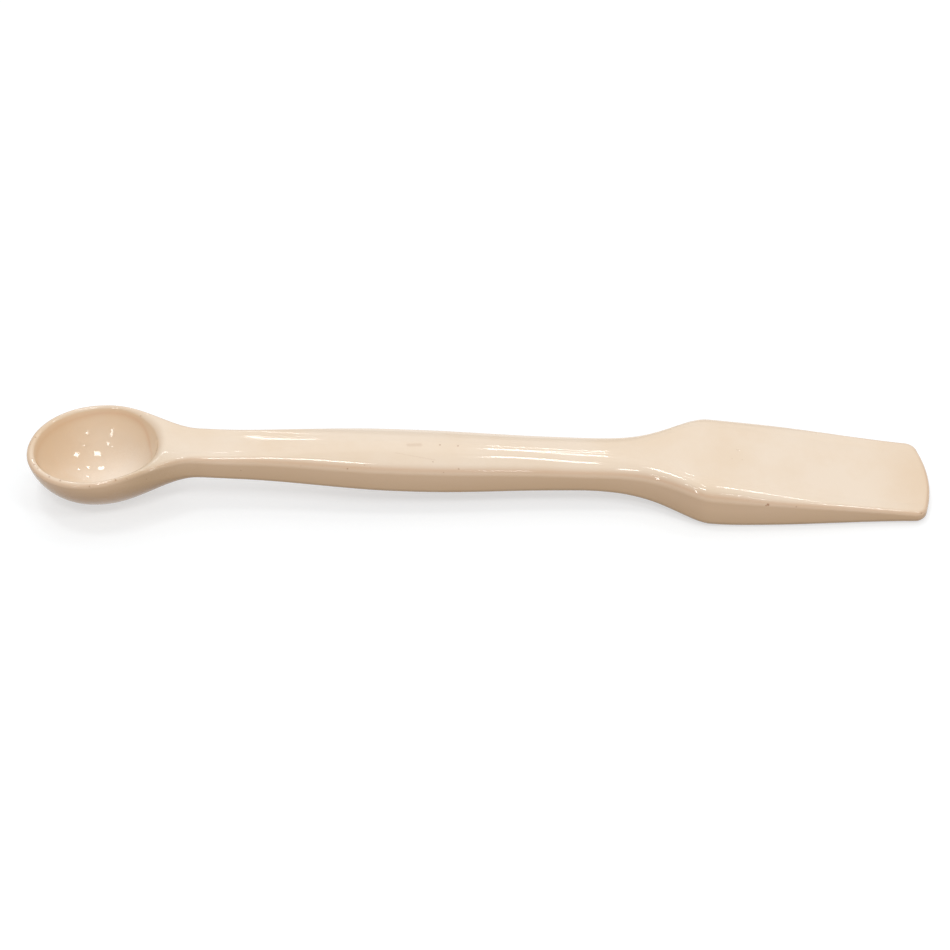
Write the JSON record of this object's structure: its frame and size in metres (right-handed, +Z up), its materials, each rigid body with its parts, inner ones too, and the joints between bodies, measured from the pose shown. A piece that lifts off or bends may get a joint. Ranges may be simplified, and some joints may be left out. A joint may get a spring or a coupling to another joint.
{
  "type": "lab spatula",
  "caption": "Glazed porcelain laboratory spatula: an egg-shaped spoon bowl at one end, a ridged handle and a flat wedge blade at the other.",
  "frame": {"origin": "on the table, halfway along the spatula and on its plane of symmetry", "axes": "+X along the spatula from the bowl to the blade, +Y across it, +Z up from the table it lies on, hollow side up"},
  "size_m": [0.1999, 0.0258, 0.0147],
  "materials": {
    "glazed_porcelain": "clear gloss glaze over a cream body with sparse brown iron specks"
  },
  "bodies": {
    "root": {"spatula_body": "glazed_porcelain"}
  },
  "joints": []
}
